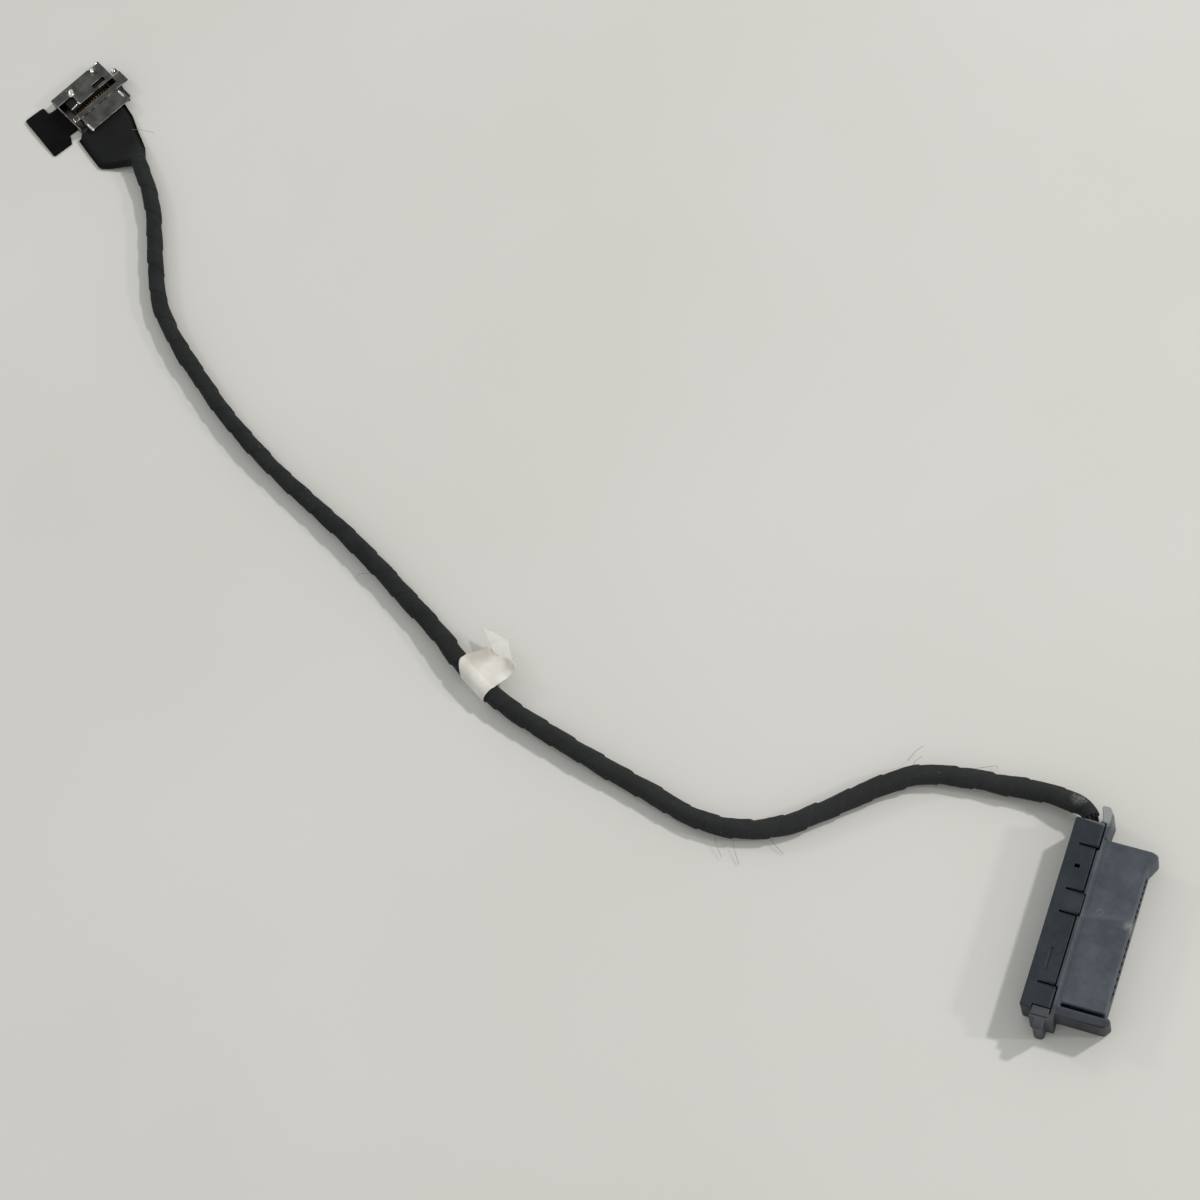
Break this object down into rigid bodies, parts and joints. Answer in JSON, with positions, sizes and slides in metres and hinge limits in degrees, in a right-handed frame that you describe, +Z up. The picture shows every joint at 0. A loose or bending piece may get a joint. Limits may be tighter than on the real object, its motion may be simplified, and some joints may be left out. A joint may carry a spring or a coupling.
{
  "type": "optical drive adapter cable",
  "caption": "Adapter cable for a slim optical drive: a drive receptacle with guide arms, a tape-wrapped cable and a small shelled board connector with a pull tab.",
  "frame": {"origin": "on the supporting surface, under the middle of the drive receptacle's bounding box", "axes": "+X along the receptacle towards the end where the cable leaves, -Y out of its mouth, +Z up from the surface"},
  "size_m": [0.1324, 0.2441, 0.0066],
  "materials": {
    "slate_plastic": "moulded, satin",
    "dark_slate_plastic": "moulded, satin",
    "cloth_tape": "woven acetate cloth tape, matt",
    "black_film": "polyester film, semi-gloss",
    "label_film": "printed film, bare",
    "shell_metal": "stamped and tinned",
    "gold_contact": "gold flash on phosphor bronze",
    "insulator_plastic": "moulded",
    "wire_jacket": "extruded"
  },
  "bodies": {
    "root": {"drive_housing": "slate_plastic", "drive_rear_cover": "dark_slate_plastic", "power_contact_1": "gold_contact", "power_contact_2": "gold_contact", "power_contact_3": "gold_contact", "power_contact_4": "gold_contact", "power_contact_5": "gold_contact", "power_contact_6": "gold_contact", "signal_contact_1": "gold_contact", "signal_contact_2": "gold_contact", "signal_contact_3": "gold_contact", "signal_contact_4": "gold_contact", "signal_contact_5": "gold_contact", "signal_contact_6": "gold_contact", "signal_contact_7": "gold_contact", "wire_01": "wire_jacket", "wire_02": "wire_jacket", "wire_03": "wire_jacket", "wire_04": "wire_jacket", "wire_05": "wire_jacket", "wire_06": "wire_jacket", "wire_07": "wire_jacket", "wire_08": "wire_jacket", "wire_09": "wire_jacket", "wire_10": "wire_jacket", "wire_11": "wire_jacket", "wire_12": "wire_jacket", "wire_13": "wire_jacket", "cable_sleeve": "cloth_tape", "label_flag": "label_film", "tape_fan": "cloth_tape", "board_shell": "shell_metal", "board_clamp_bar": "shell_metal", "board_housing": "insulator_plastic", "board_pull_tab": "black_film", "board_contact_01": "gold_contact", "board_contact_02": "gold_contact", "board_contact_03": "gold_contact", "board_contact_04": "gold_contact", "board_contact_05": "gold_contact", "board_contact_06": "gold_contact", "board_contact_07": "gold_contact", "board_contact_08": "gold_contact", "board_contact_09": "gold_contact", "board_contact_10": "gold_contact", "board_contact_11": "gold_contact", "board_contact_12": "gold_contact"}
  },
  "joints": []
}
